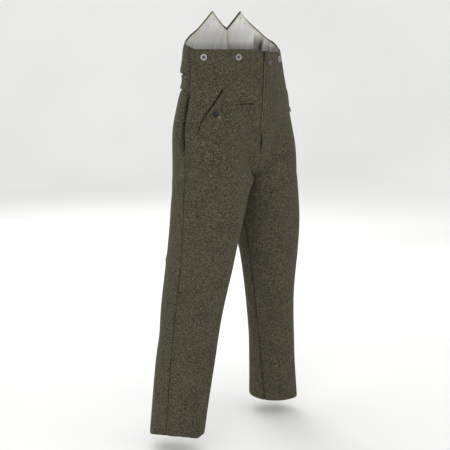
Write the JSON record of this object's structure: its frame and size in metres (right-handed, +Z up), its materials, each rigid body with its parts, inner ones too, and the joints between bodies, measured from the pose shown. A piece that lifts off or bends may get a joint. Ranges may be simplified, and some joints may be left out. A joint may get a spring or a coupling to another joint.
{
  "type": "uniform trousers",
  "caption": "High-waisted wool uniform trousers, open and filled out, with a fishtail back, button fly, slanted pockets and brace buttons.",
  "frame": {"origin": "centre of the waist, level with the adjuster tabs, where the wearer holds the trousers", "axes": "+Z up the body, -Y to the front, -X to the wearer's right"},
  "size_m": [0.5471, 0.2759, 1.1913],
  "materials": {
    "wool": "fulled field-grey wool with a short matted nap and mixed light and dark fibres",
    "lining_cotton": "plain-woven off-white cotton, matt",
    "facing_twill": "brown cotton twill, matt",
    "zinc": "pressed zinc, dulled grey with a rubbed bright rim",
    "painted_metal": "pressed metal with blue-black enamel paint, half gloss",
    "steel": "pressed steel wire-thin plate, dull grey"
  },
  "bodies": {
    "root": {"front_right": "wool", "front_left": "wool", "back_right": "wool", "back_left": "wool", "pocket_facing_right": "wool", "pocket_facing_left": "wool", "watch_pocket_facing": "wool", "watch_pocket_welt": "wool", "fly_facing": "facing_twill", "lining_front_right": "lining_cotton", "lining_front_left": "lining_cotton", "lining_back_right": "lining_cotton", "lining_back_left": "lining_cotton", "adjuster_tab_left": "wool", "adjuster_tab_right": "wool", "adjuster_buckle": "steel", "brace_button_1": "zinc", "brace_button_2": "zinc", "brace_button_3": "zinc", "brace_button_4": "zinc", "brace_button_5": "zinc", "brace_button_6": "zinc", "brace_button_7": "zinc", "brace_button_8": "zinc", "brace_button_9": "zinc", "brace_button_10": "zinc", "pocket_button_right": "painted_metal", "pocket_button_left": "painted_metal", "fly_button": "zinc"}
  },
  "joints": []
}
